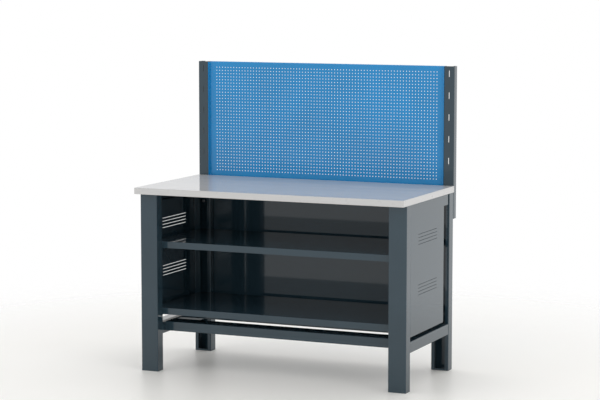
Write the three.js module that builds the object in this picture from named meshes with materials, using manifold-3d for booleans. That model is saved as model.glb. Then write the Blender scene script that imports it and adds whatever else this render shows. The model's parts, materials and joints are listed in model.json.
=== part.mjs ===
// Steel workbench with an open shelved cabinet body: a laminated worktop on four folded
// C-section legs, two tray shelves, vented side panels, and a perforated tool panel that
// stands on two slotted uprights behind the worktop.
//
// Millimetres, +Z up. Inside the bench group, x runs to the right from the middle,
// y runs back from the worktop's front edge and z runs up from the floor.
import * as THREE from "three";
import { mergeVertices } from "three/addons/utils/BufferGeometryUtils.js";
import Module from "manifold-3d";

// Worktop
const TOP_WIDTH = 1400;
const TOP_DEPTH = 700;
const TOP_HEIGHT = 912;
const TOP_THICKNESS = 31;
const LAMINATE = 0.8;
const EDGE_BAND = 2;

// Legs: lipped C-sections, the front pair open to the rear and the rear pair to the front
const LEG_WIDTH = 90;
const LEG_DEPTH = 57;
const LEG_LIP = 18;
const LEG_SHEET = 2;
const LEG_SIDE_INSET = 4;
const FRONT_OVERHANG = 55;
const FOOT_LIP_HEIGHT = 9.5;
const FOOT_CLEARANCE = 0.8;

// Rails and stretchers of the base, and the rails under the worktop
const RAIL_TOP = 235;
const RAIL_HEIGHT = 54;
const RAIL_INSET = 1;
const RAIL_LIP = 15;
const STRETCHER_TOP = 238;
const STRETCHER_HEIGHT = 46;
const STRETCHER_DEPTH = 100;
const STRETCHER_SETBACK = 30;
const TOP_RAIL_HEIGHT = 53;
const TOP_RAIL_WIDTH = 30;
const TOP_RAIL_INSET = 10;

// Cabinet sheets
const PANEL_SHEET = 1.2;
const PANEL_RECESS = 1.5;
const PANEL_FLANGE = 30;
const PANEL_BOTTOM = 255;
const PANEL_REAR_GAP = 73;
const PANEL_STRIP_GAP = 17;
const BACK_PANEL_SETBACK = 16;
const SHELF_TOPS = { middle: 640, bottom: 310 };
const SHELF_LIP = 32;
const SHELF_SIDE_GAP = 31.5;

// Vent slots in the side panels: two groups of four
const VENT_LENGTH = 256;
const VENT_HEIGHT = 2;
const VENT_PITCH = 16;
const VENT_COUNT = 4;
const VENT_GROUP_TOPS = [730.5, 490];
const VENT_CENTRE_Y = 344;

// Uprights
const UPRIGHT_BOTTOM = 749;
const UPRIGHT_TOP = 1498;
const UPRIGHT_DEPTH = 42;
const UPRIGHT_WIDTH = 53.5;
const UPRIGHT_RETURN = 34;
const UPRIGHT_LIP = 18;
const SLOT_WIDTH = 3.5;
const SLOT_HEIGHT = 32;
const SLOT_PITCH = 107;
const SLOT_COUNT = 5;
const SLOT_FIRST_DROP = 36.5;

// Tool panel: the field of holes keeps its true outline, hole size and outer rows,
// and every third hole of the 16 mm pattern each way is cut
const TOOL_SHEET = 1.5;
const TOOL_RECESS = 16;
const TOOL_BOTTOM = 898;
const TOOL_RETURN = 18;
const HOLE_SIZE = 4;
const HOLE_PITCH = 16;
const HOLE_COLUMNS = 76;
const HOLE_ROWS = 34;
const HOLE_STEP = 3;
const HOLE_TOP_MARGIN = 30;

// M8 bolts that hold the uprights to the rear legs
const BOLT_RADIUS = 4;
const BOLT_CLEARANCE = 0.5;
const BOLT_HEAD_ACROSS = 13;
const BOLT_HEAD_HEIGHT = 5.3;
const BOLT_NUT_HEIGHT = 6.5;
const BOLT_WASHER_RADIUS = 8;
const BOLT_WASHER_HEIGHT = 1.6;
const BOLT_SHANK = 18;
const BOLT_HEIGHTS = { lower: 776, upper: 856 };

// Clearance between touching pieces, the bend radius as a share of the sheet, the steps of
// round forms, and how far a cutter runs past the sheet that it cuts
const GAP = 0.3;
const BEND_RATIO = 1.5;
const BEND_STEPS = 2;
const ROUND_SIDES = 12;
const HEXAGON_SIDES = 6;
const CUT_MARGIN = 1;
const WELD_DISTANCE = 1e-4;

// Derived places
const TOP_UNDERSIDE = TOP_HEIGHT - TOP_THICKNESS;
const FRAME_TOP = TOP_UNDERSIDE - GAP;
const LEG_OUTER = TOP_WIDTH / 2 - LEG_SIDE_INSET;
const LEG_INNER = LEG_OUTER - LEG_WIDTH;
const FRAME_FRONT = FRONT_OVERHANG;
const FRAME_REAR = TOP_DEPTH;
const BAY_FRONT = FRAME_FRONT + LEG_DEPTH + GAP;
const BAY_REAR = FRAME_REAR - LEG_DEPTH - GAP;
const PANEL_OUTER = LEG_OUTER - PANEL_RECESS;
const PANEL_INNER = PANEL_OUTER - PANEL_SHEET;
const PANEL_REAR = BAY_REAR + GAP - PANEL_REAR_GAP;
const STRIP_BOTTOM = FRAME_TOP - TOP_RAIL_HEIGHT;
const STRIP_REAR = BAY_REAR + GAP - PANEL_STRIP_GAP;
const BACK_FACE = FRAME_REAR - BACK_PANEL_SETBACK;
const UPRIGHT_FRONT = FRAME_REAR + GAP;
const UPRIGHT_REAR = UPRIGHT_FRONT + UPRIGHT_DEPTH;
const UPRIGHT_INNER = LEG_OUTER - UPRIGHT_WIDTH;
const UPRIGHT_CENTRE = LEG_OUTER - UPRIGHT_WIDTH / 2;
const TOOL_FACE = UPRIGHT_FRONT + TOOL_RECESS;

const SIDES = { left: -1, right: 1 };

const wasm = await Module();
wasm.setup();

// Joining and cutting of closed geometries

function toSolid(geometry) {
  const bare = geometry.clone();
  bare.deleteAttribute("normal");
  bare.deleteAttribute("uv");
  const merged = mergeVertices(bare, WELD_DISTANCE);
  const mesh = new wasm.Mesh({
    numProp: 3,
    vertProperties: new Float32Array(merged.attributes.position.array),
    triVerts: new Uint32Array(merged.index.array),
  });
  return new wasm.Manifold(mesh);
}

function toGeometry(solid) {
  const mesh = solid.getMesh();
  const geometry = new THREE.BufferGeometry();
  geometry.setAttribute("position", new THREE.BufferAttribute(mesh.vertProperties, 3));
  geometry.setIndex(new THREE.BufferAttribute(mesh.triVerts, 1));
  geometry.computeVertexNormals();
  return geometry;
}

function join(geometries) {
  return toGeometry(geometries.map(toSolid).reduce((whole, piece) => whole.add(piece)));
}

function cut(geometry, tools) {
  return toGeometry(tools.map(toSolid).reduce((rest, tool) => rest.subtract(tool), toSolid(geometry)));
}

// Sections are drawn in the two axes that stay when one is left out: (y, z) for a prism
// along x, (x, z) along y and (x, y) along z.
const PRISM_AXES = {
  x: new THREE.Matrix4().set(0, 0, 1, 0, 1, 0, 0, 0, 0, 1, 0, 0, 0, 0, 0, 1),
  y: new THREE.Matrix4().set(1, 0, 0, 0, 0, 0, -1, 0, 0, 1, 0, 0, 0, 0, 0, 1),
  z: new THREE.Matrix4(),
};

function prism(section, axis, from, to) {
  const options = { depth: to - from, bevelEnabled: false, curveSegments: BEND_STEPS };
  const geometry = new THREE.ExtrudeGeometry(section, options);
  geometry.applyMatrix4(PRISM_AXES[axis]);
  const start = new THREE.Vector3();
  start[axis] = axis === "y" ? to : from;
  return geometry.translate(start.x, start.y, start.z);
}

function box(low, high) {
  const size = high.map((value, axis) => value - low[axis]);
  const centre = high.map((value, axis) => (value + low[axis]) / 2);
  return new THREE.BoxGeometry(...size).translate(...centre);
}

// Section of a folded sheet. The path is the sheet's middle line, with a bend at each corner.
function foldedSection(path, sheet) {
  const points = path.map(([a, b]) => new THREE.Vector2(a, b));
  const runs = points.slice(1).map((point, i) => point.clone().sub(points[i]).normalize());
  const leftOf = (run) => new THREE.Vector2(-run.y, run.x);
  const radius = sheet * BEND_RATIO;
  const bends = runs.slice(1).map((run, i) => {
    const turn = Math.sign(runs[i].cross(run));
    const corner = points[i + 1];
    const start = corner.clone().addScaledVector(runs[i], -radius);
    const end = corner.clone().addScaledVector(run, radius);
    const centre = start.clone().addScaledVector(leftOf(runs[i]), turn * radius);
    return {
      turn,
      centre,
      startAngle: start.sub(centre).angle(),
      endAngle: end.sub(centre).angle(),
    };
  });
  const half = sheet / 2;
  const beside = (end, run, offset) => end.clone().addScaledVector(leftOf(run), offset);
  const first = points[0];
  const last = points.at(-1);
  const firstRun = runs[0];
  const lastRun = runs.at(-1);
  const shape = new THREE.Shape();
  shape.moveTo(...beside(first, firstRun, -half));
  shape.lineTo(...beside(first, firstRun, half));
  for (const { turn, centre, startAngle, endAngle } of bends) {
    shape.absarc(centre.x, centre.y, radius - turn * half, startAngle, endAngle, turn < 0);
  }
  shape.lineTo(...beside(last, lastRun, half));
  shape.lineTo(...beside(last, lastRun, -half));
  for (const { turn, centre, startAngle, endAngle } of bends.reverse()) {
    shape.absarc(centre.x, centre.y, radius + turn * half, endAngle, startAngle, turn > 0);
  }
  shape.closePath();
  return shape;
}

// Section of a slot with round ends, centred on (a, b), whose length turns from the first axis
function slotSection(a, b, length, width, turn = 0) {
  const reach = (length - width) / 2;
  const along = new THREE.Vector2(reach * Math.cos(turn), reach * Math.sin(turn));
  const quarter = Math.PI / 2;
  const shape = new THREE.Shape();
  shape.absarc(a + along.x, b + along.y, width / 2, turn - quarter, turn + quarter, false);
  shape.absarc(a - along.x, b - along.y, width / 2, turn + quarter, turn + 3 * quarter, false);
  shape.closePath();
  return shape;
}

// Middle line of a lipped C: the web at `web`, the open side at `open`, between `low` and `high`
function lippedC({ low, high, web, open, lip, sheet }) {
  const half = sheet / 2;
  const inward = Math.sign(open - web) * half;
  return [
    [low + lip, open - inward],
    [low + half, open - inward],
    [low + half, web + inward],
    [high - half, web + inward],
    [high - half, open - inward],
    [high - lip, open - inward],
  ];
}

// Length left open at a corner where two folded edges meet
const cornerRelief = (sheet) => 2 * BEND_RATIO * sheet;

const mirrored = (path, side) => path.map(([x, other]) => [side * x, other]);
const behind = (y) => FRAME_FRONT + FRAME_REAR - y;

// A box drawn for the right-hand side, or its mirror image on the left
function sideBox(side, [xa, xb], [ya, yb], [za, zb]) {
  const xs = [side * xa, side * xb].sort((a, b) => a - b);
  return box([xs[0], ya, za], [xs[1], yb, zb]);
}

// A rod along y with the given number of sides, from `from` back to `to`
function rod(x, z, radius, from, to, sides = ROUND_SIDES) {
  const geometry = new THREE.CylinderGeometry(radius, radius, to - from, sides);
  return geometry.translate(x, (from + to) / 2, z);
}

function hexagon(x, z, across, from, to) {
  return rod(x, z, across / Math.sqrt(3), from, to, HEXAGON_SIDES);
}

const finish = (color, roughness, metalness) => ({ color, roughness, metalness });
const FRAME_PAINT = finish(0x454f55, 0.3, 0.1);
const PANEL_PAINT = finish(0x3d81b6, 0.35, 0.1);
const LAMINATE_FINISH = finish(0xdcdddf, 0.35, 0);
const BAND_FINISH = finish(0xd9d8d4, 0.5, 0);
const BOARD_FINISH = finish(0xb99a72, 0.9, 0);
const ZINC = finish(0xb5b8ba, 0.35, 0.9);

function part(name, geometry, look) {
  const mesh = new THREE.Mesh(geometry, new THREE.MeshStandardMaterial(look));
  mesh.name = name;
  return mesh;
}

// Chipboard worktop with laminate above and below, and a band along each edge
function worktop() {
  const halfWidth = TOP_WIDTH / 2;
  const coreHalf = halfWidth - EDGE_BAND - GAP;
  const coreFront = EDGE_BAND + GAP;
  const coreRear = TOP_DEPTH - EDGE_BAND - GAP;
  const coreLow = TOP_UNDERSIDE + LAMINATE + GAP;
  const coreHigh = TOP_HEIGHT - LAMINATE - GAP;
  const sheetBetween = (low, high) => box([-coreHalf, coreFront, low], [coreHalf, coreRear, high]);
  const crossBand = (from, to) => box([-halfWidth, from, TOP_UNDERSIDE], [halfWidth, to, TOP_HEIGHT]);
  const endBand = (side) => sideBox(
    side, [halfWidth - EDGE_BAND, halfWidth], [coreFront, coreRear], [TOP_UNDERSIDE, TOP_HEIGHT]);
  const group = new THREE.Group();
  group.add(
    part("worktop_core", sheetBetween(coreLow, coreHigh), BOARD_FINISH),
    part("worktop_laminate", sheetBetween(TOP_HEIGHT - LAMINATE, TOP_HEIGHT), LAMINATE_FINISH),
    part("worktop_balance_sheet", sheetBetween(TOP_UNDERSIDE, TOP_UNDERSIDE + LAMINATE), LAMINATE_FINISH),
    part("edge_band_front", crossBand(0, EDGE_BAND), BAND_FINISH),
    part("edge_band_rear", crossBand(TOP_DEPTH - EDGE_BAND, TOP_DEPTH), BAND_FINISH),
  );
  for (const [name, side] of Object.entries(SIDES)) {
    group.add(part(`edge_band_${name}`, endBand(side), BAND_FINISH));
  }
  return group;
}

function legSection(side, row) {
  const path = lippedC({
    low: LEG_INNER,
    high: LEG_OUTER,
    web: row === "front" ? FRAME_FRONT : FRAME_REAR,
    open: row === "front" ? FRAME_FRONT + LEG_DEPTH : FRAME_REAR - LEG_DEPTH,
    lip: LEG_LIP,
    sheet: LEG_SHEET,
  });
  return foldedSection(mirrored(path, side), LEG_SHEET);
}

const boltHoles = (side) => Object.values(BOLT_HEIGHTS).map((z) =>
  rod(side * UPRIGHT_CENTRE, z, BOLT_RADIUS + BOLT_CLEARANCE,
    FRAME_REAR - LEG_DEPTH / 2, UPRIGHT_REAR - UPRIGHT_DEPTH / 2));

function leg(side, row) {
  const post = prism(legSection(side, row), "z", 0, FRAME_TOP);
  return row === "front" ? post : cut(post, boltHoles(side));
}

// Foot plate inside the bottom of a leg, its tab turned up between the lips
function footPlate(side, row) {
  const place = (y) => (row === "front" ? y : behind(y));
  const wall = LEG_SHEET + FOOT_CLEARANCE;
  const webSide = FRAME_FRONT + wall;
  const openFace = FRAME_FRONT + LEG_DEPTH;
  const depths = [place(webSide), place(openFace - wall)].sort((a, b) => a - b);
  const base = sideBox(side, [LEG_INNER + wall, LEG_OUTER - wall], depths, [0, LEG_SHEET]);
  const half = LEG_SHEET / 2;
  const tabPath = [[webSide, half], [openFace - half, half], [openFace - half, FOOT_LIP_HEIGHT]];
  const tabSection = foldedSection(tabPath.map(([y, z]) => [place(y), z]), LEG_SHEET);
  const tabEnds = [LEG_INNER + LEG_LIP + GAP, LEG_OUTER - LEG_LIP - GAP].map((x) => side * x);
  return join([base, prism(tabSection, "x", Math.min(...tabEnds), Math.max(...tabEnds))]);
}

// Side rail of the base: a C with its web on top, between the legs
function lowerSideRail(side) {
  const path = lippedC({
    low: LEG_INNER + RAIL_INSET,
    high: LEG_OUTER - RAIL_INSET,
    web: RAIL_TOP,
    open: RAIL_TOP - RAIL_HEIGHT,
    lip: RAIL_LIP,
    sheet: LEG_SHEET,
  });
  return prism(foldedSection(mirrored(path, side), LEG_SHEET), "y", BAY_FRONT, BAY_REAR);
}

// Rail under the worktop, inside the side panel's top strip and open to the inside
function topSideRail(side) {
  const half = LEG_SHEET / 2;
  const outer = LEG_OUTER - TOP_RAIL_INSET - half;
  const inner = LEG_OUTER - TOP_RAIL_INSET - TOP_RAIL_WIDTH;
  const path = [
    [inner, STRIP_BOTTOM + half],
    [outer, STRIP_BOTTOM + half],
    [outer, FRAME_TOP - half],
    [inner, FRAME_TOP - half],
  ];
  return prism(foldedSection(mirrored(path, side), LEG_SHEET), "y", BAY_FRONT, BAY_REAR);
}

// Stretcher between the side rails: a C with its web on top
function stretcher(row) {
  const front = BAY_FRONT - GAP + STRETCHER_SETBACK;
  const path = lippedC({
    low: row === "front" ? front : behind(front + STRETCHER_DEPTH),
    high: row === "front" ? front + STRETCHER_DEPTH : behind(front),
    web: STRETCHER_TOP,
    open: STRETCHER_TOP - STRETCHER_HEIGHT,
    lip: RAIL_LIP,
    sheet: LEG_SHEET,
  });
  const reach = LEG_INNER + RAIL_INSET - GAP;
  return prism(foldedSection(path, LEG_SHEET), "x", -reach, reach);
}

// Vented side panel of the right-hand side: folded in at the front, rear and bottom edges,
// with a flat strip along the top that runs on behind it. The left-hand one is the same
// piece turned round, so its strip runs on to the front.
function sidePanel(side) {
  const half = PANEL_SHEET / 2;
  const face = PANEL_OUTER - half;
  const flangeEdge = PANEL_OUTER - PANEL_FLANGE;
  const relief = cornerRelief(PANEL_SHEET);
  const wall = [
    [flangeEdge, BAY_FRONT + half],
    [face, BAY_FRONT + half],
    [face, PANEL_REAR - half],
    [flangeEdge, PANEL_REAR - half],
  ];
  const hem = [
    [flangeEdge, PANEL_BOTTOM + half],
    [face, PANEL_BOTTOM + half],
    [face, PANEL_BOTTOM + PANEL_FLANGE],
  ];
  const sheet = ([ya, yb], [za, zb]) => box([PANEL_INNER, ya, za], [PANEL_OUTER, yb, zb]);
  const body = join([
    prism(foldedSection(wall, PANEL_SHEET), "z", PANEL_BOTTOM + relief, STRIP_BOTTOM - GAP),
    prism(foldedSection(hem, PANEL_SHEET), "y", BAY_FRONT + relief, PANEL_REAR - relief),
    sheet([BAY_FRONT + relief, PANEL_REAR - relief], [STRIP_BOTTOM - PANEL_FLANGE, FRAME_TOP]),
    sheet([BAY_FRONT, STRIP_REAR], [STRIP_BOTTOM, FRAME_TOP]),
  ]);
  const ends = [PANEL_INNER - CUT_MARGIN, PANEL_OUTER + CUT_MARGIN];
  const vents = VENT_GROUP_TOPS.flatMap((top) =>
    Array.from({ length: VENT_COUNT }, (_, i) =>
      prism(slotSection(VENT_CENTRE_Y, top - i * VENT_PITCH, VENT_LENGTH, VENT_HEIGHT), "x", ...ends)));
  const panel = cut(body, vents);
  return side > 0 ? panel : panel.rotateZ(Math.PI).translate(0, FRAME_FRONT + FRAME_REAR, 0);
}

// Tray from two crossed channels whose faces coincide, with open corners
function tray(alongX, alongOther) {
  return join([prism(...alongX), prism(...alongOther)]);
}

// Back panel between the rear legs, its four edges folded to the rear
function backPanel() {
  const half = PANEL_SHEET / 2;
  const face = BACK_FACE + half;
  const rearEdge = FRAME_REAR - half;
  const reach = LEG_INNER - GAP;
  const relief = cornerRelief(PANEL_SHEET);
  const level = [
    [rearEdge, PANEL_BOTTOM + half],
    [face, PANEL_BOTTOM + half],
    [face, FRAME_TOP - half],
    [rearEdge, FRAME_TOP - half],
  ];
  const plan = [
    [-reach + half, rearEdge],
    [-reach + half, face],
    [reach - half, face],
    [reach - half, rearEdge],
  ];
  return tray(
    [foldedSection(level, PANEL_SHEET), "x", -reach + relief, reach - relief],
    [foldedSection(plan, PANEL_SHEET), "z", PANEL_BOTTOM + relief, FRAME_TOP - relief],
  );
}

// Shelf tray with its four edges folded down
function shelf(top) {
  const half = PANEL_SHEET / 2;
  const face = top - half;
  const lipEdge = top - SHELF_LIP;
  const reach = PANEL_OUTER - SHELF_SIDE_GAP;
  const relief = cornerRelief(PANEL_SHEET);
  const depthwise = [
    [BAY_FRONT + half, lipEdge],
    [BAY_FRONT + half, face],
    [BAY_REAR - half, face],
    [BAY_REAR - half, lipEdge],
  ];
  const across = [
    [-reach + half, lipEdge],
    [-reach + half, face],
    [reach - half, face],
    [reach - half, lipEdge],
  ];
  return tray(
    [foldedSection(depthwise, PANEL_SHEET), "x", -reach + relief, reach - relief],
    [foldedSection(across, PANEL_SHEET), "y", BAY_FRONT + relief, BAY_REAR - relief],
  );
}

// Slotted upright behind a rear leg: a channel with its slotted web to the front and its
// outer flange lipped at the rear
function upright(side) {
  const half = LEG_SHEET / 2;
  const path = mirrored([
    [UPRIGHT_INNER + half, UPRIGHT_FRONT + UPRIGHT_RETURN],
    [UPRIGHT_INNER + half, UPRIGHT_FRONT + half],
    [LEG_OUTER - half, UPRIGHT_FRONT + half],
    [LEG_OUTER - half, UPRIGHT_REAR - half],
    [LEG_OUTER - UPRIGHT_LIP, UPRIGHT_REAR - half],
  ], side);
  const post = prism(foldedSection(path, LEG_SHEET), "z", UPRIGHT_BOTTOM, UPRIGHT_TOP);
  const slots = Array.from({ length: SLOT_COUNT }, (_, i) => {
    const z = UPRIGHT_TOP - SLOT_FIRST_DROP - i * SLOT_PITCH;
    const section = slotSection(side * UPRIGHT_CENTRE, z, SLOT_HEIGHT, SLOT_WIDTH, Math.PI / 2);
    return prism(section, "y", UPRIGHT_FRONT - CUT_MARGIN, UPRIGHT_FRONT + LEG_SHEET + CUT_MARGIN);
  });
  return cut(post, [...slots, ...boltHoles(side)]);
}

// Perforated tool panel, its sides folded forward against the uprights' inner flanges and
// its upper and lower edges folded to the rear
function toolPanel() {
  const half = TOOL_SHEET / 2;
  const face = TOOL_FACE + half;
  const rearEdge = TOOL_FACE + TOOL_RETURN;
  const frontEdge = UPRIGHT_FRONT + GAP;
  const reach = UPRIGHT_INNER - GAP;
  const relief = cornerRelief(TOOL_SHEET);
  const level = [
    [rearEdge, TOOL_BOTTOM + half],
    [face, TOOL_BOTTOM + half],
    [face, UPRIGHT_TOP - half],
    [rearEdge, UPRIGHT_TOP - half],
  ];
  const plan = [
    [-reach + half, frontEdge],
    [-reach + half, face],
    [reach - half, face],
    [reach - half, frontEdge],
  ];
  const folded = tray(
    [foldedSection(level, TOOL_SHEET), "x", -reach + relief, reach - relief],
    [foldedSection(plan, TOOL_SHEET), "z", TOOL_BOTTOM + relief, UPRIGHT_TOP - relief],
  );
  return cut(folded, [perforation()]);
}

// The cutters of the tool panel's holes, as one closed geometry of separate square pins
function perforation() {
  const fieldLeft = (-(HOLE_COLUMNS - 1) * HOLE_PITCH) / 2;
  const fieldTop = UPRIGHT_TOP - HOLE_TOP_MARGIN;
  const half = HOLE_SIZE / 2;
  const pins = [];
  for (let column = 0; column < HOLE_COLUMNS; column += HOLE_STEP) {
    for (let row = 0; row < HOLE_ROWS; row += HOLE_STEP) {
      const x = fieldLeft + column * HOLE_PITCH;
      const z = fieldTop - row * HOLE_PITCH;
      const pin = new THREE.Shape([[-1, -1], [1, -1], [1, 1], [-1, 1]]
        .map(([a, b]) => new THREE.Vector2(x + a * half, z + b * half)));
      pins.push(pin);
    }
  }
  return prism(pins, "y", TOOL_FACE - CUT_MARGIN, TOOL_FACE + TOOL_SHEET + CUT_MARGIN);
}

// Bolt from the rear through an upright's web and the leg's web, with its washer
function uprightBolt(side, z) {
  const x = side * UPRIGHT_CENTRE;
  const seat = UPRIGHT_FRONT + LEG_SHEET + GAP;
  const headSeat = seat + BOLT_WASHER_HEIGHT;
  return join([
    rod(x, z, BOLT_RADIUS, headSeat - BOLT_SHANK, headSeat + BOLT_HEAD_HEIGHT / 2),
    rod(x, z, BOLT_WASHER_RADIUS, seat, headSeat),
    hexagon(x, z, BOLT_HEAD_ACROSS, headSeat, headSeat + BOLT_HEAD_HEIGHT),
  ]);
}

// Nut on the bolt's end, inside the rear leg
function uprightNut(side, z) {
  const x = side * UPRIGHT_CENTRE;
  const seat = FRAME_REAR - LEG_SHEET - GAP;
  const body = hexagon(x, z, BOLT_HEAD_ACROSS, seat - BOLT_NUT_HEIGHT, seat);
  const bore = rod(x, z, BOLT_RADIUS + GAP, seat - BOLT_NUT_HEIGHT - CUT_MARGIN, seat + CUT_MARGIN);
  return cut(body, [bore]);
}

const bench = new THREE.Group();
bench.position.y = -UPRIGHT_REAR / 2;
bench.add(
  worktop(),
  part("front_stretcher", stretcher("front"), FRAME_PAINT),
  part("rear_stretcher", stretcher("rear"), FRAME_PAINT),
  part("back_panel", backPanel(), FRAME_PAINT),
  part("tool_panel", toolPanel(), PANEL_PAINT),
);
for (const [name, top] of Object.entries(SHELF_TOPS)) {
  bench.add(part(`${name}_shelf`, shelf(top), FRAME_PAINT));
}
for (const [name, side] of Object.entries(SIDES)) {
  for (const row of ["front", "rear"]) {
    bench.add(part(`leg_${row}_${name}`, leg(side, row), FRAME_PAINT));
    bench.add(part(`foot_plate_${row}_${name}`, footPlate(side, row), FRAME_PAINT));
  }
  bench.add(
    part(`lower_side_rail_${name}`, lowerSideRail(side), FRAME_PAINT),
    part(`top_side_rail_${name}`, topSideRail(side), FRAME_PAINT),
    part(`side_panel_${name}`, sidePanel(side), FRAME_PAINT),
    part(`upright_${name}`, upright(side), FRAME_PAINT),
  );
  for (const [level, z] of Object.entries(BOLT_HEIGHTS)) {
    bench.add(part(`upright_bolt_${name}_${level}`, uprightBolt(side, z), ZINC));
    bench.add(part(`upright_nut_${name}_${level}`, uprightNut(side, z), ZINC));
  }
}

export default bench;
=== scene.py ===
"""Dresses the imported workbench: paints, laminate, the full perforation and the small fasteners.

Metres, in the part's own frame: +X right, +Y to the rear, +Z up, origin on the floor.
"""

import json
import math

import bmesh
import bpy
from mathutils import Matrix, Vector


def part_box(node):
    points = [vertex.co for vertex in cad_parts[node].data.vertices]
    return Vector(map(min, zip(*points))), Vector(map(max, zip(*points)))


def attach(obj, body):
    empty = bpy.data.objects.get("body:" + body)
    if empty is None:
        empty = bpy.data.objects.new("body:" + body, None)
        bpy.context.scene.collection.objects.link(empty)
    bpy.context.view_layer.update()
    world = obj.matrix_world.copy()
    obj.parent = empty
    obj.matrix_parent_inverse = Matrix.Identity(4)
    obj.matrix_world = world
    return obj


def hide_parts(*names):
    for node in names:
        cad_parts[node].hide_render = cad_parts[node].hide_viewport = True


MM = 0.001

# Camera: place, tilt from straight down, turn about the vertical and lens
CAMERA_PLACE = (3.982, -9.025, 1.976)
CAMERA_TILT = math.radians(83.46)
CAMERA_TURN = math.radians(23.71)
CAMERA_LENS = 121.64
CAMERA_SENSOR = 36.0

# Studio: the white surround, the floor and where it fades into the surround, and the lamps
WHITE = (1.0, 1.0, 1.0, 1.0)
AMBIENT = {"tint": (1.0, 0.995, 0.985, 1.0), "horizon": 1.45, "zenith": 0.45}
FLOOR_RADIUS = 9.0
FLOOR_SIDES = 96
FLOOR_FADE = {"start": 1.0, "end": 3.4}
LAMPS = {
    "overhead_lamp": {"place": (0.0, 0.9, 5.2), "size": 4.0, "power": 50.0},
    "right_lamp": {"place": (5.0, -2.0, 3.6), "size": 3.0, "power": 30.0},
    "left_lamp": {"place": (-4.0, -4.5, 3.2), "size": 3.0, "power": 20.0},
    "rear_lamp": {"place": (2.3, 3.5, 0.9), "size": 3.0, "power": 5.0},
}
LAMP_AIM = Vector((0.0, 0.0, 0.7))

# Tool panel: a folded tray with square holes
TOOL_SHEET = 1.5 * MM
TOOL_BEND = 1.5 * TOOL_SHEET
TOOL_RETURN = 18 * MM
CORNER_RELIEF = 2 * TOOL_BEND
BEND_STEPS = 6
HOLE_SIZE = 4 * MM
HOLE_PITCH = 16 * MM
HOLE_COLUMNS = 76
HOLE_ROWS = 34
HOLE_TOP_MARGIN = 30 * MM

# Sheets and lips that the fasteners sit on
PANEL_SHEET = 1.2 * MM
LEG_SHEET = 2 * MM
LEG_LIP = 18 * MM
SHELF_LIP = 32 * MM

# Fasteners: M8 bolts and nuts behind the worktop, M5 flange nuts on welded studs, M5 screws
M8 = {"radius": 4 * MM, "pitch": 1.25 * MM, "across": 13 * MM, "head": 5.3 * MM, "plain": 6 * MM}
M8_NUT = {"bore": 4.1 * MM, "height": 6.5 * MM, "countersink": 0.4 * MM}
M8_WASHER = {"bore": 4.3 * MM, "radius": 8 * MM, "height": 1.6 * MM, "chamfer": 0.3 * MM}
M5 = {"radius": 2.5 * MM, "pitch": 0.8 * MM, "across": 8 * MM, "nut": 5 * MM, "stud": 8 * MM}
M5_FLANGE = {"radius": 5.9 * MM, "rim": 0.7 * MM, "neck": 4.8 * MM, "height": 1.5 * MM}
M5_DISH = {"radius": 2 * MM, "depth": 0.35 * MM}

# Turned forms: sides to a turn, the slope of a hexagon's chamfer and the share its end face keeps
TURN_SIDES = 36
HEX_CHAMFER = math.tan(math.radians(30))
HEX_FACE = 0.94

# Threads: rings to a pitch, the depth in pitches, and how far the tip tapers, in depths
THREAD_STEPS = 4
THREAD_DEPTH = 0.61
THREAD_TAPER = 1.4

# Where the fasteners sit: rows between two margins, and their places across a fold or lip
TOOL_STUDS = {"count": 3, "margin": 60 * MM}
TOOL_STUD_DEPTH = 9.4 * MM
BACK_STUDS = {"count": 4, "margin": 50 * MM}
BACK_STUD_SHIFT = 1.0 * MM
WORKTOP_SCREWS = {"count": 3, "margin": 70 * MM}
SHELF_STUD_DROP = 0.55 * SHELF_LIP

# Directions in the part's frame
RIGHT = (1, 0, 0)
LEFT = (-1, 0, 0)
REARWARD = (0, 1, 0)
FORWARD = (0, -1, 0)
DOWN = (0, 0, -1)

# Edges that show rounded, and the angle up to which facets of one bend shade as one
BAND_ROUND = 0.8 * MM
BAND_SEGMENTS = 3
SMOOTH_ANGLE = math.radians(50)
WELD_DISTANCE = 0.01 * MM

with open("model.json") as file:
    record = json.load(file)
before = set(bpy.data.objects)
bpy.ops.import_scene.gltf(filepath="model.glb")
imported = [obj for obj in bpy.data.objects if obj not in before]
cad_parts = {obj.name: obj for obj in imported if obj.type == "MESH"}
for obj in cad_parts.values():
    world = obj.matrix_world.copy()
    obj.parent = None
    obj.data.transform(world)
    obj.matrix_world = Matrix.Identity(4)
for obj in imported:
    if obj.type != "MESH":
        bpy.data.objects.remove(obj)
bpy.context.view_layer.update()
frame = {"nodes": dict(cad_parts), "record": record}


# Materials

def tone(red, green, blue):
    """Linear colour with full alpha from sRGB display values of 0 to 255."""
    def linear(value):
        share = value / 255
        return share / 12.92 if share <= 0.04045 else ((share + 0.055) / 1.055) ** 2.4
    return (linear(red), linear(green), linear(blue), 1.0)


def shaded(colour, gain):
    """The same hue, lighter or darker."""
    return (*(min(1.0, part * gain) for part in colour[:3]), 1.0)


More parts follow.
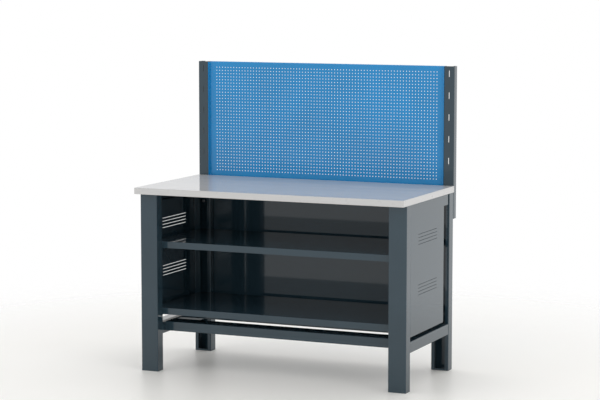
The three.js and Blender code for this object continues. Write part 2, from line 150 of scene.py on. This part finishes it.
class Nodes:
    """A node tree, with short calls that add nodes and join them."""

    def __init__(self, tree):
        self.tree = tree
        self.tree.nodes.clear()

    def node(self, kind, sockets=None, **settings):
        """A new node with these settings, and with constants on the sockets named."""
        made = self.tree.nodes.new(kind)
        for key, value in settings.items():
            setattr(made, key, value)
        for key, value in (sockets or {}).items():
            made.inputs[key].default_value = value
        return made

    def join(self, source, target):
        self.tree.links.new(source, target)

    def chain(self, *nodes):
        """Joins each node's first output to the next one's first input."""
        for before, after in zip(nodes, nodes[1:]):
            self.join(before.outputs[0], after.inputs[0])

    def spread(self, value, low=0.0, high=1.0, start=0.3, end=0.7, **settings):
        """A value between low and high as the source goes from start to end."""
        span = {"From Min": start, "From Max": end, "To Min": low, "To Max": high}
        made = self.node("ShaderNodeMapRange", span, **settings)
        self.join(value, made.inputs["Value"])
        return made.outputs[0]

    def fade(self, factor, first, second):
        """A shader that goes from the first to the second as the factor goes from 0 to 1."""
        made = self.node("ShaderNodeMixShader")
        for source, target in zip((factor, first, second), made.inputs):
            self.join(source, target)
        return made.outputs[0]


class Look(Nodes):
    """A material's node tree, with short calls for the nodes that the finishes share."""

    # Places of a colour mix's sockets, which share their names with those of its other kinds
    MIX = {"factor": 0, "first": 6, "second": 7, "result": 2}

    def __init__(self, name):
        self.material = bpy.data.materials.new(name)
        self.material.use_nodes = True
        super().__init__(self.material.node_tree)
        self.output = self.node("ShaderNodeOutputMaterial")
        self.place = self.node("ShaderNodeTexCoord").outputs["Object"]

    def shader(self, constants):
        """The surface shader, with constants set on its own sockets."""
        made = self.node("ShaderNodeBsdfPrincipled", constants)
        self.join(made.outputs[0], self.output.inputs["Surface"])
        return made

    def finish(self, colour, roughness, normal, constants):
        """Joins what varies to the surface shader, sets the rest on it and gives the material."""
        made = self.shader(constants)
        self.join(colour, made.inputs["Base Color"])
        self.join(roughness, made.inputs["Roughness"])
        self.join(normal, made.inputs["Normal"])
        return self.material

    def noise(self, scale, detail=2.0, stretch=None):
        """Clouds of this many to the metre, stretched along the axes where asked."""
        made = self.node("ShaderNodeTexNoise", {"Scale": scale, "Detail": detail})
        place = self.place
        if stretch:
            mapping = self.node("ShaderNodeMapping", {"Scale": stretch})
            self.join(place, mapping.inputs["Vector"])
            place = mapping.outputs[0]
        self.join(place, made.inputs["Vector"])
        return made.outputs[0]

    def cells(self, scale):
        """Irregular cells of this many to the metre."""
        made = self.node("ShaderNodeTexVoronoi", {"Scale": scale})
        self.join(self.place, made.inputs["Vector"])
        return made

    def blend(self, factor, first, second):
        """A colour between two, each a constant or a socket."""
        made = self.node("ShaderNodeMix", data_type="RGBA")
        self.join(factor, made.inputs[self.MIX["factor"]])
        for key, colour in (("first", first), ("second", second)):
            socket = made.inputs[self.MIX[key]]
            if isinstance(colour, bpy.types.NodeSocket):
                self.join(colour, socket)
            else:
                socket.default_value = colour
        return made.outputs[self.MIX["result"]]

    def shades(self, factor, colour, low, high):
        """Shades of one colour, from low to high times as light."""
        return self.blend(factor, shaded(colour, low), shaded(colour, high))

    def bump(self, height, depth, strength, under=None):
        """A normal roughened by a height, over another normal where one is given."""
        made = self.node("ShaderNodeBump", {"Distance": depth, "Strength": strength})
        self.join(height, made.inputs["Height"])
        if under is not None:
            self.join(under, made.inputs["Normal"])
        return made.outputs[0]

    def edges(self, radius):
        """Zero on flats, rising to one on edges sharper than the radius."""
        rounded = self.node("ShaderNodeBevel", {"Radius": radius}, samples=4)
        true = self.node("ShaderNodeNewGeometry").outputs["Normal"]
        likeness = self.node("ShaderNodeVectorMath", operation="DOT_PRODUCT")
        self.join(rounded.outputs[0], likeness.inputs[0])
        self.join(true, likeness.inputs[1])
        return self.spread(likeness.outputs["Value"], low=1.0, high=0.0, start=0.75, end=0.98)


def powder_coat(name, colour, roughness, ior):
    """Gloss powder coat: clouded tone, fine orange peel, and edges painted paler, partly for the
    thinner film there and partly as a painted highlight.
    """
    look = Look(name)
    clouds = look.spread(look.noise(scale=5.0, detail=4.0))
    film = look.shades(clouds, colour, low=0.94, high=1.06)
    # Edges painted paler: partly the thinner film on edges, partly a painted highlight standing in
    # for light catching them
    thin_film_and_highlight = look.blend(look.edges(radius=1.0 * MM), film, shaded(colour, gain=1.35))
    patches = look.noise(scale=38.0, detail=5.0)
    gloss = look.spread(patches, low=0.8 * roughness, high=1.3 * roughness)
    waves = look.noise(scale=420.0, detail=1.0)
    peel = look.bump(waves, depth=0.04 * MM, strength=0.05)
    grit = look.noise(scale=2600.0, detail=1.0)
    speckle = look.bump(grit, depth=0.01 * MM, strength=0.04, under=peel)
    return look.finish(thin_film_and_highlight, gloss, speckle, {"IOR": ior})


def laminate(name, colour):
    """Semi-gloss pressed laminate: faint mottle, very fine grain and a few duller patches."""
    look = Look(name)
    clouds = look.spread(look.noise(scale=9.0, detail=3.0))
    mottle = look.shades(clouds, colour, low=0.97, high=1.03)
    specks = look.cells(scale=1400.0).outputs["Distance"]
    flecks = look.spread(specks, high=0.5, start=0.25, end=0.7)
    flecked = look.blend(flecks, mottle, shaded(colour, gain=0.93))
    gloss = look.spread(look.noise(scale=14.0, detail=4.0), low=0.05, high=0.08)
    grain = look.bump(look.noise(scale=1800.0, detail=1.0), depth=0.008 * MM, strength=0.05)
    return look.finish(flecked, gloss, grain, {"IOR": 1.2})


def edge_band(name, colour):
    """Satin plastic band: fine lengthways grain and slightly soiled edges."""
    look = Look(name)
    lines = look.noise(scale=60.0, detail=4.0, stretch=(0.05, 0.05, 8.0))
    toned = look.shades(look.spread(lines), colour, low=0.97, high=1.02)
    soiled = look.blend(look.edges(radius=0.6 * MM), toned, shaded(colour, gain=0.95))
    gloss = look.spread(look.noise(scale=30.0, detail=4.0), low=0.26, high=0.38)
    grain = look.bump(look.noise(scale=900.0, detail=2.0), depth=0.02 * MM, strength=0.1)
    return look.finish(soiled, gloss, grain, {"IOR": 1.46})


def chipboard(name, colour):
    """Raw chipboard: pressed flakes of several tones."""
    look = Look(name)
    flakes = look.cells(scale=260.0)
    tones = look.spread(flakes.outputs["Color"], start=0.1, end=0.9)
    chips = look.shades(tones, colour, low=0.6, high=1.25)
    gloss = look.spread(look.noise(scale=40.0), low=0.75, high=0.95)
    relief = look.bump(flakes.outputs["Distance"], depth=0.3 * MM, strength=0.4)
    return look.finish(chips, gloss, relief, {"IOR": 1.4})


def zinc_plate(name, colour):
    """Bright zinc plate: blotched sheen, fine scratches and worn corners."""
    look = Look(name)
    clouds = look.spread(look.noise(scale=320.0, detail=4.0))
    blotches = look.shades(clouds, colour, low=0.82, high=1.12)
    worn = look.blend(look.edges(radius=0.5 * MM), blotches, shaded(colour, gain=1.3))
    gloss = look.spread(look.noise(scale=500.0, detail=3.0), low=0.22, high=0.42)
    lines = look.noise(scale=900.0, detail=3.0, stretch=(1.0, 1.0, 0.12))
    scratches = look.bump(lines, depth=0.02 * MM, strength=0.15)
    return look.finish(worn, gloss, scratches, {"Metallic": 1.0})


FINISHES = {
    "frame_paint": powder_coat("frame_paint", tone(39, 57, 67), roughness=0.05, ior=1.52),
    "panel_paint": powder_coat("panel_paint", tone(13, 125, 184), roughness=0.09, ior=1.5),
    "laminate": laminate("laminate", tone(194, 194, 196)),
    "edge_band": edge_band("edge_band", tone(188, 188, 188)),
    "board": chipboard("board", tone(190, 160, 120)),
    "zinc": zinc_plate("zinc", tone(196, 199, 201)),
}


# Pieces

def soft_bends():
    """Node group that joins coincident corners and shades the facets of a bend as one round."""
    group = bpy.data.node_groups.new("soft_bends", "GeometryNodeTree")
    for side in ("INPUT", "OUTPUT"):
        group.interface.new_socket(name="Geometry", in_out=side, socket_type="NodeSocketGeometry")
    nodes = Nodes(group)
    angle = nodes.node("GeometryNodeInputMeshEdgeAngle")
    steep = nodes.node("FunctionNodeCompare", {1: SMOOTH_ANGLE}, operation="GREATER_THAN")
    sharp = nodes.node("GeometryNodeSetShadeSmooth", {"Shade Smooth": False}, domain="EDGE")
    nodes.chain(angle, steep)
    nodes.join(steep.outputs[0], sharp.inputs["Selection"])
    nodes.chain(
        nodes.node("NodeGroupInput"),
        nodes.node("GeometryNodeRemoveAttribute", {"Name": "custom_normal"}),
        nodes.node("GeometryNodeMergeByDistance", {"Distance": WELD_DISTANCE}),
        nodes.node("GeometryNodeSetShadeSmooth"),
        sharp,
        nodes.node("NodeGroupOutput"),
    )
    return group


SOFT_BENDS = soft_bends()


def soften(piece, rounded=0.0):
    """Rounds a piece's bends in shading and, where asked, its sharp edges in shape."""
    piece.modifiers.new("soft_bends", "NODES").node_group = SOFT_BENDS
    if rounded:
        bevel = piece.modifiers.new("rounded_edges", "BEVEL")
        bevel.width = rounded
        bevel.segments = BAND_SEGMENTS
        bevel.limit_method = "ANGLE"
    weighted = piece.modifiers.new("weighted_normals", "WEIGHTED_NORMAL")
    weighted.keep_sharp = not rounded


def dress(piece, slot):
    """Gives a piece the finish of a slot, all over."""
    piece.data.materials.clear()
    piece.data.materials.append(FINISHES[slot])


def put(name, data):
    """A new object in the scene that shows this data."""
    made = bpy.data.objects.new(name, data)
    bpy.context.scene.collection.objects.link(made)
    return made


def put_mesh(name, bm):
    """A new object in the scene made from a bmesh, which is then freed."""
    mesh = bpy.data.meshes.new(name)
    bm.to_mesh(mesh)
    bm.free()
    return put(name, mesh)


def new_piece(name, mesh_maker, slot, replaced=()):
    """A mesh piece that rides with the bench and takes its finish from a slot."""
    bm = bmesh.new()
    mesh_maker(bm)
    bmesh.ops.recalc_face_normals(bm, faces=bm.faces)
    piece = put_mesh(name, bm)
    dress(piece, slot)
    soften(piece)
    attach(piece, "root")
    if replaced:
        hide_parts(*replaced)


# Tool panel

def folded(distance, flat, toward):
    """Where a point of the flat sheet goes once its edge is folded.

    Toward is 1 for a fold to the back and -1 for one to the front. Gives the place across, the
    place back and the slope of the front face's normal.
    """
    past = abs(distance) - flat
    if past <= 0:
        return distance, 0.0, 0.0
    turn = math.copysign(1.0, distance)
    angle = min(past / TOOL_BEND, math.pi / 2)
    straight = max(0.0, past - TOOL_BEND * math.pi / 2)
    across = flat + TOOL_BEND * math.sin(angle)
    back = TOOL_BEND * (1 - math.cos(angle)) + straight
    return turn * across, toward * back, toward * turn * angle


def sheet_lines(half, fold, holes):
    """Grid lines over the flat sheet: fold ends, bend steps, corner reliefs and hole edges.

    Gives the lines, and how far from the middle the folded sheet stays flat.
    """
    flat = half - TOOL_SHEET / 2 - TOOL_BEND
    bend = TOOL_BEND * math.pi / 2
    outer = [flat + bend * step / BEND_STEPS for step in range(BEND_STEPS + 1)]
    outer += [half - CORNER_RELIEF, flat + bend + fold - TOOL_BEND]
    edges = [hole + side * HOLE_SIZE / 2 for hole in holes for side in (-1, 1)]
    return sorted([*outer, *(-line for line in outer), *edges]), flat


def tool_tray(bm):
    """The perforated panel: made flat, then folded forward at the sides and back above and below."""
    low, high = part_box("tool_panel")
    middle = (low + high) / 2
    middle.y = high.y - TOOL_RETURN + TOOL_SHEET / 2
    half_width, half_height = (high.x - low.x) / 2, (high.z - low.z) / 2
    first_column = -(HOLE_COLUMNS - 1) * HOLE_PITCH / 2
    columns = [first_column + k * HOLE_PITCH for k in range(HOLE_COLUMNS)]
    rows = [half_height - HOLE_TOP_MARGIN - k * HOLE_PITCH for k in range(HOLE_ROWS)]
    across_lines, flat_width = sheet_lines(half_width, middle.y - low.y, columns)
    up_lines, flat_height = sheet_lines(half_height, high.y - middle.y, rows)

    def near(place, holes):
        return any(abs(place - hole) < HOLE_SIZE / 2 for hole in holes)

    hole_columns = [near((a + b) / 2, columns) for a, b in zip(across_lines, across_lines[1:])]
    hole_rows = [near((a + b) / 2, rows) for a, b in zip(up_lines, up_lines[1:])]

    def there(i, j):
        """Whether a cell of the grid is sheet, not past its ends, in a hole or in a relief."""
        if not (0 <= i < len(hole_columns) and 0 <= j < len(hole_rows)):
            return False
        if hole_columns[i] and hole_rows[j]:
            return False
        across = abs(across_lines[i] + across_lines[i + 1]) / 2
        up = abs(up_lines[j] + up_lines[j + 1]) / 2
        return across < half_width - CORNER_RELIEF or up < half_height - CORNER_RELIEF

    corners = {}

    def corner(i, j, side):
        """The vertex on one face of the sheet: side -1 is the front, 1 the back."""
        if (i, j, side) not in corners:
            x, back_x, slope_x = folded(across_lines[i], flat_width, toward=-1)
            z, back_z, slope_z = folded(up_lines[j], flat_height, toward=1)
            facing = -math.cos(slope_x) * math.cos(slope_z)
            normal = Vector((math.sin(slope_x), facing, math.sin(slope_z)))
            place = middle + Vector((x, back_x + back_z, z))
            corners[i, j, side] = bm.verts.new(place - side * normal * TOOL_SHEET / 2)
        return corners[i, j, side]

    # Corners of a cell in order, and the cell across each of its edges
    steps = ((0, 0), (1, 0), (1, 1), (0, 1))
    beside = ((0, -1), (1, 0), (0, 1), (-1, 0))
    for i in range(len(hole_columns)):
        for j in range(len(hole_rows)):
            if not there(i, j):
                continue
            for side in (-1, 1):
                bm.faces.new([corner(i + di, j + dj, side) for di, dj in steps])
            for k, (di, dj) in enumerate(beside):
                if not there(i + di, j + dj):
                    start, end = steps[k], steps[(k + 1) % len(steps)]
                    rim = [(start, -1), (end, -1), (end, 1), (start, 1)]
                    bm.faces.new([corner(i + a, j + b, side) for (a, b), side in rim])


# Fasteners

def turned(bm, seat, axis, outline, hollow=False):
    """A closed turned form on a seat, along an axis.

    Each entry of the outline is a function that gives (radius, height) at an angle.
    """
    upright = Vector(axis).to_track_quat("Z", "Y")
    angles = [math.tau * step / TURN_SIDES for step in range(TURN_SIDES)]
    rings = []
    for point in outline:
        ring = []
        for angle in angles:
            radius, height = point(angle)
            spot = Vector((radius * math.cos(angle), radius * math.sin(angle), height))
            ring.append(bm.verts.new(seat + upright @ spot))
        rings.append(ring)
    pairs = list(zip(rings, rings[1:]))
    if hollow:
        pairs.append((rings[-1], rings[0]))
    else:
        bm.faces.new(rings[0])
        bm.faces.new(rings[-1])
    for lower, upper in pairs:
        for k in range(TURN_SIDES):
            after = (k + 1) % TURN_SIDES
            bm.faces.new((lower[k], lower[after], upper[after], upper[k]))


def circle(radius, height):
    """Outline entry: a circle at a height."""
    return lambda angle: (radius, height)


def hexagon_radius(across, angle):
    """Distance from a hexagon's axis to its side at an angle."""
    return across / 2 / math.cos(angle % (math.pi / 3) - math.pi / 6)


def hexagon(across, height):
    """Outline entry: a hexagon at a height."""
    return lambda angle: (hexagon_radius(across, angle), height)


def end_face(across):
    """Radius of the flat face that the chamfer leaves on a hexagon's end."""
    return across / 2 * HEX_FACE


def chamfered_hexagon(across, top, direction=1):
    """The curved line where a hexagon's flats meet the cone that trims its end face."""
    face = end_face(across)

    def point(angle):
        radius = hexagon_radius(across, angle)
        return radius, top - direction * HEX_CHAMFER * (radius - face)
    return point


def hex_end(across, seat, top):
    """Outline of a hexagon from its seat to its chamfered face."""
    return [hexagon(across, seat), chamfered_hexagon(across, top), circle(end_face(across), top)]


def thread(size, start, end):
    """Rings of a helical thread from start to end, tapering out at the end."""
    depth = THREAD_DEPTH * size["pitch"]
    count = round(abs(end - start) / size["pitch"] * THREAD_STEPS)

    def ring(height):
        def point(angle):
            turn = (height / size["pitch"] - angle / math.tau) % 1.0
            return size["radius"] - depth * abs(2 * turn - 1), height
        return point
    rings = [ring(start + (end - start) * step / count) for step in range(count + 1)]
    tip = end + math.copysign(depth / 2, end - start)
    return [*rings, circle(size["radius"] - THREAD_TAPER * depth, tip)]


def washer(bm, seat, axis, bore, radius, height, chamfer):
    """A washer, chamfered round its rim."""
    turned(bm, seat, axis, [
        circle(bore, 0.0),
        circle(radius - chamfer, 0.0),
        circle(radius, chamfer),
        circle(radius, height - chamfer),
        circle(radius - chamfer, height),
        circle(bore, height),
    ], hollow=True)


def upright_bolt(name, node):
    """M8 bolt with a washer, its head inside the upright and its end inside the leg."""
    low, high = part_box(node)
    centre = (low + high) / 2
    head_seat = high.y - M8["head"]
    washer_seat = head_seat - M8_WASHER["height"]
    shank = head_seat - low.y

    def build(bm):
        washer(bm, Vector((centre.x, washer_seat, centre.z)), REARWARD, **M8_WASHER)
        turned(bm, Vector((centre.x, head_seat, centre.z)), REARWARD, [
            *reversed(hex_end(M8["across"], 0.0, M8["head"])),
            circle(M8["radius"], 0.0),
            circle(M8["radius"], -M8["plain"]),
            *thread(M8, -M8["plain"], -shank + M8["pitch"] / 2),
        ])
    new_piece(name, build, "zinc", replaced=[node])


def upright_nut(name, node):
    """M8 nut against the inner face of the rear leg, chamfered on both faces."""
    low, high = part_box(node)
    centre = (low + high) / 2
    bore, height = M8_NUT["bore"], M8_NUT["height"]
    mouth = bore + M8_NUT["countersink"]
    face = end_face(M8["across"])

    def build(bm):
        turned(bm, Vector((centre.x, high.y, centre.z)), FORWARD, [
            circle(bore, 0.0),
            circle(face, 0.0),
            chamfered_hexagon(M8["across"], 0.0, direction=-1),
            chamfered_hexagon(M8["across"], height),
            circle(face, height),
            circle(mouth, height),
            circle(bore, height - M8_NUT["countersink"]),
        ], hollow=True)
    new_piece(name, build, "zinc", replaced=[node])


def flange_nut(bm, seat, axis, stud):
    """M5 flange nut on a welded stud, or a flange-headed screw where there is no stud."""
    outline = [
        circle(M5_FLANGE["radius"], 0.0),
        circle(M5_FLANGE["radius"], M5_FLANGE["rim"]),
        circle(M5_FLANGE["neck"], M5_FLANGE["height"]),
        *hex_end(M5["across"], M5_FLANGE["height"], M5["nut"]),
    ]
    if stud:
        outline.append(circle(M5["radius"], M5["nut"]))
        outline += thread(M5, M5["nut"], M5["stud"])
    else:
        outline.append(circle(M5_DISH["radius"], M5["nut"] - M5_DISH["depth"]))
    turned(bm, seat, axis, outline)


def nuts(name, places, stud=True):
    """One piece that holds a group of like fasteners, each at (seat, axis)."""
    def build(bm):
        for seat, axis in places:
            flange_nut(bm, Vector(seat), axis, stud)
    new_piece(name, build, "zinc")


def row(low, high, count, margin):
    """Places evenly apart from one margin to the other."""
    start, end = low + margin, high - margin
    return [start + (end - start) * step / (count - 1) for step in range(count)]


def shelf_fasteners(shelf):
    """Nuts under a shelf: on its front and rear lips, in line with the legs' inner lips."""
    low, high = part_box(shelf)
    z = high.z - SHELF_STUD_DROP
    places = []
    for side in ("left", "right"):
        leg_low, leg_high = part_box(f"leg_front_{side}")
        inner = leg_high.x - LEG_LIP / 2 if side == "left" else leg_low.x + LEG_LIP / 2
        places.append(((inner, low.y + PANEL_SHEET, z), REARWARD))
        places.append(((inner, high.y - PANEL_SHEET, z), FORWARD))
    nuts(f"{shelf}_nuts", places)


def tool_panel_fasteners():
    """Nuts inside the uprights, on studs welded to the tool panel's side folds."""
    low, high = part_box("tool_panel")
    left_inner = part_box("upright_left")[1].x
    right_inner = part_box("upright_right")[0].x
    y = low.y + TOOL_STUD_DEPTH
    heights = row(low.z, high.z, **TOOL_STUDS)
    places = [((left_inner - LEG_SHEET, y, z), LEFT) for z in heights]
    places += [((right_inner + LEG_SHEET, y, z), RIGHT) for z in heights]
    nuts("tool_panel_nuts", places)


def back_panel_fasteners():
    """Nuts inside the back panel's side folds, on studs welded to the rear legs."""
    low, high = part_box("back_panel")
    y = (low.y + high.y) / 2 + BACK_STUD_SHIFT
    heights = row(low.z, high.z, **BACK_STUDS)
    places = [((low.x + PANEL_SHEET, y, z), RIGHT) for z in heights]
    places += [((high.x - PANEL_SHEET, y, z), LEFT) for z in heights]
    nuts("back_panel_nuts", places)


def worktop_fasteners():
    """Screws up into the worktop, through the upper flange of each rail below it."""
    places = []
    for side in ("left", "right"):
        low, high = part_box(f"top_side_rail_{side}")
        x = (low.x + high.x) / 2
        for y in row(low.y, high.y, **WORKTOP_SCREWS):
            places.append(((x, y, high.z - LEG_SHEET), DOWN))
    nuts("worktop_screws", places, stud=False)


# Stage

def studio_floor():
    """Pale floor that keeps the shadow near the bench and fades into the white surround."""
    look = Look("studio_floor")
    pale = look.shader({"Base Color": tone(253, 252, 249), "Roughness": 0.37, "IOR": 1.27})
    clear = look.node("ShaderNodeBsdfTransparent")
    reach = look.node("ShaderNodeVectorMath", operation="LENGTH")
    look.join(look.place, reach.inputs[0])
    share = look.spread(reach.outputs["Value"], **FLOOR_FADE, interpolation_type="SMOOTHERSTEP")
    faded = look.fade(share, pale.outputs[0], clear.outputs[0])
    look.join(faded, look.output.inputs["Surface"])
    bm = bmesh.new()
    bmesh.ops.create_circle(bm, cap_ends=True, radius=FLOOR_RADIUS, segments=FLOOR_SIDES)
    floor = put_mesh("studio_floor", bm)
    floor.data.materials.append(look.material)


def white_surround():
    """White to the camera and in reflections, elsewhere a soft light, strongest from the sides."""
    world = bpy.data.worlds.new("white_surround")
    world.use_nodes = True
    sky = Nodes(world.node_tree)
    seen = sky.node("ShaderNodeBackground", {"Color": WHITE, "Strength": 1.0})
    light = sky.node("ShaderNodeBackground", {"Color": AMBIENT["tint"]})
    heading = sky.node("ShaderNodeTexCoord").outputs["Generated"]
    slope = sky.node("ShaderNodeVectorMath", operation="ABSOLUTE")
    height = sky.node("ShaderNodeSeparateXYZ")
    sky.join(heading, slope.inputs[0])
    sky.chain(slope, height)
    falling = sky.spread(
        height.outputs["Z"], low=AMBIENT["horizon"], high=AMBIENT["zenith"], start=0.0, end=1.0)
    sky.join(falling, light.inputs["Strength"])
    path = sky.node("ShaderNodeLightPath")
    either = path.outputs["Is Camera Ray"]
    for ray in ("Is Glossy Ray", "Is Transmission Ray"):
        larger = sky.node("ShaderNodeMath", operation="MAXIMUM")
        sky.join(either, larger.inputs[0])
        sky.join(path.outputs[ray], larger.inputs[1])
        either = larger.outputs[0]
    output = sky.node("ShaderNodeOutputWorld")
    sky.join(sky.fade(either, light.outputs[0], seen.outputs[0]), output.inputs["Surface"])
    bpy.context.scene.world = world


def lamp(name, place, size, power):
    """Round soft lamp, aimed at the middle of the bench."""
    data = bpy.data.lights.new(name, "AREA")
    data.shape = "DISK"
    data.size = size
    data.energy = power
    made = put(name, data)
    made.location = place
    made.rotation_euler = (LAMP_AIM - Vector(place)).to_track_quat("-Z", "Y").to_euler()


def camera():
    """Camera at the photograph's viewing angle."""
    data = bpy.data.cameras.new("camera")
    data.lens = CAMERA_LENS
    data.sensor_width = CAMERA_SENSOR
    made = put("camera", data)
    made.location = CAMERA_PLACE
    made.rotation_euler = (CAMERA_TILT, 0.0, CAMERA_TURN)
    bpy.context.scene.camera = made


# Everything in place

for subpart in frame["record"]["subparts"]:
    node = frame["nodes"][subpart["node"]]
    dress(node, subpart["material_slot"])
    soften(node, BAND_ROUND if subpart["material_slot"] == "edge_band" else 0.0)

new_piece("perforated_panel", tool_tray, "panel_paint", replaced=["tool_panel"])
for side in ("left", "right"):
    for level in ("lower", "upper"):
        upright_bolt(f"m8_bolt_{side}_{level}", f"upright_bolt_{side}_{level}")
        upright_nut(f"m8_nut_{side}_{level}", f"upright_nut_{side}_{level}")
shelf_fasteners("middle_shelf")
shelf_fasteners("bottom_shelf")
tool_panel_fasteners()
back_panel_fasteners()
worktop_fasteners()

studio_floor()
white_surround()
for lamp_name, values in LAMPS.items():
    lamp(lamp_name, **values)
camera()
bpy.context.scene.view_settings.view_transform = "Standard"
